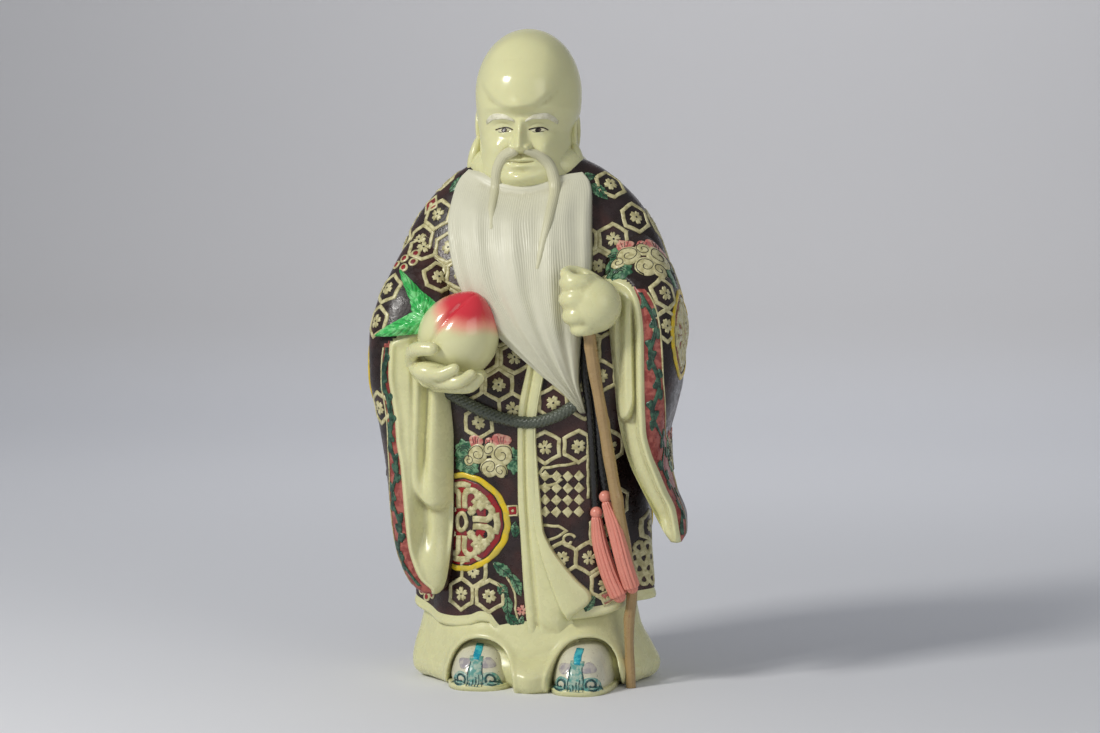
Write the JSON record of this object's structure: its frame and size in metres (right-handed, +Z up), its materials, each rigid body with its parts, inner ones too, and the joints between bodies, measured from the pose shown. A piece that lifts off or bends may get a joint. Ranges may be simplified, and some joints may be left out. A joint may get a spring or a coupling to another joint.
{
  "type": "resin sage figurine",
  "caption": "Cast resin figure of an old bearded sage in a brocade robe, standing, with a peach in one hand and the foot of a staff in the other",
  "frame": {"origin": "middle of the flat underside, on the surface that the figure stands on", "axes": "+Z up, the sage faces -Y, +X to the viewer's right"},
  "size_m": [0.1506, 0.1136, 0.305],
  "materials": {
    "cream_resin": "glossy cast resin, cream where bare and hand painted over low relief on the robe"
  },
  "bodies": {
    "root": {"sage_figure": "cream_resin"}
  },
  "joints": []
}
